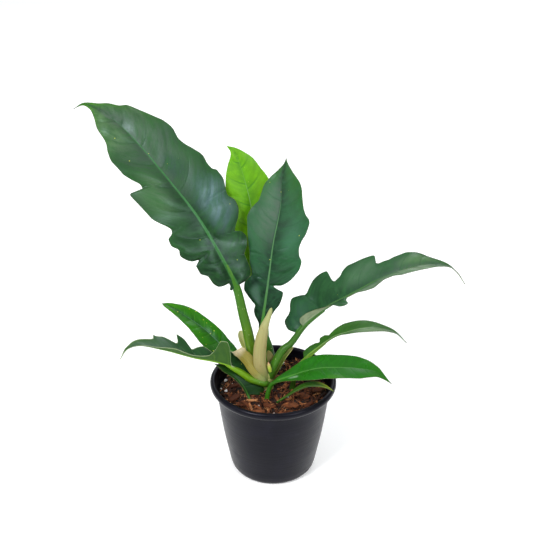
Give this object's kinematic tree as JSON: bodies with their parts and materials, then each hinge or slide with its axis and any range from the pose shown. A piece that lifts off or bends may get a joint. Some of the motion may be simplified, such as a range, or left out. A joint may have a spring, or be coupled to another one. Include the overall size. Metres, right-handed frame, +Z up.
{
  "type": "potted philodendron",
  "caption": "Leafy house plant with long lobed dark green leaves on thick stalks, growing from pale sheaths in a round black nursery pot filled with husk mix.",
  "frame": {"origin": "centre of the pot's underside, on the surface that the pot stands on", "axes": "+Z up, -Y towards the front of the plant, +X towards its right side seen from the front"},
  "size_m": [0.4664, 0.2008, 0.4237],
  "materials": {
    "pot_plastic": "satin",
    "potting_mix": "matte",
    "husk": "matte",
    "perlite": "matte",
    "root": "matte",
    "stem": "satin",
    "stalk": "satin",
    "dark_leaf": "satin",
    "green_leaf": "satin",
    "young_leaf": "satin",
    "sheath": "matte",
    "bud": "satin"
  },
  "bodies": {
    "root": {"pot": "pot_plastic", "potting_mix": "potting_mix", "roots": "root", "stem": "stem", "tall_leaf_stalk": "stalk", "young_leaf_stalk": "stalk", "centre_leaf_stalk": "stalk", "arching_leaf_stalk": "stalk", "small_leaf_stalk": "stalk", "front_leaf_stalk": "stalk", "sliver_leaf_stalk": "stalk", "upper_leaf_stalk": "stalk", "lower_leaf_stalk": "stalk", "basal_leaf_stalk": "stalk", "tall_leaf_blade": "dark_leaf", "young_leaf_blade": "young_leaf", "centre_leaf_blade": "dark_leaf", "arching_leaf_blade": "dark_leaf", "small_leaf_blade": "dark_leaf", "front_leaf_blade": "green_leaf", "sliver_leaf_blade": "green_leaf", "upper_leaf_blade": "green_leaf", "lower_leaf_blade": "dark_leaf", "basal_leaf_blade": "dark_leaf", "centre_sheath": "sheath", "back_sheath": "sheath", "left_sheath": "sheath", "right_sheath": "sheath", "inner_sheath": "sheath", "bud": "bud", "husk_chip_01": "husk", "husk_chip_02": "husk", "husk_chip_03": "husk", "husk_chip_04": "husk", "husk_chip_05": "husk", "husk_chip_06": "husk", "husk_chip_07": "husk", "husk_chip_08": "husk", "husk_chip_09": "husk", "husk_chip_10": "husk", "husk_chip_11": "husk", "husk_chip_12": "husk", "husk_chip_13": "husk", "husk_chip_14": "husk", "husk_chip_15": "husk", "perlite_grain_1": "perlite", "perlite_grain_2": "perlite", "perlite_grain_3": "perlite", "perlite_grain_4": "perlite"}
  },
  "joints": []
}
